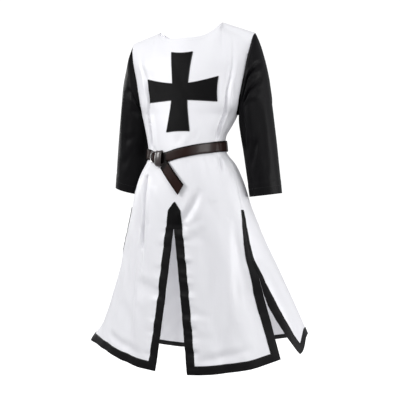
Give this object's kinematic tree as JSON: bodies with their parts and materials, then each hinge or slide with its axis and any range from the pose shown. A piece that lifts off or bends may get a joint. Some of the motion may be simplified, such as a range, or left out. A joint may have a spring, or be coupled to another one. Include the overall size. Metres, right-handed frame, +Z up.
{
  "type": "medieval surcoat",
  "caption": "White knee-length surcoat filled out as worn: black sleeves, cross and trim, slit skirt, and a brown ring belt tied at the waist.",
  "frame": {"origin": "on the line of the shoulders in the middle, level with the points where the neckline meets the shoulder seams", "axes": "+Z up the wearer, +X towards the wearer's left, the front faces -Y"},
  "size_m": [0.7482, 0.5473, 1.1477],
  "materials": {
    "white_cloth": "soft satin weave",
    "black_cloth": "satin weave",
    "brown_leather": "smooth, worn darker at the edges",
    "bright_metal": "bright"
  },
  "bodies": {
    "root": {"front_panel": "white_cloth", "back_panel": "white_cloth", "sleeve_left": "black_cloth", "sleeve_right": "black_cloth", "cross": "black_cloth", "slit_patch": "black_cloth", "trim_front_left": "black_cloth", "trim_front_right": "black_cloth", "trim_back": "black_cloth", "belt_strap": "brown_leather", "belt_knot": "brown_leather", "belt_tail": "brown_leather", "belt_ring": "bright_metal"}
  },
  "joints": []
}
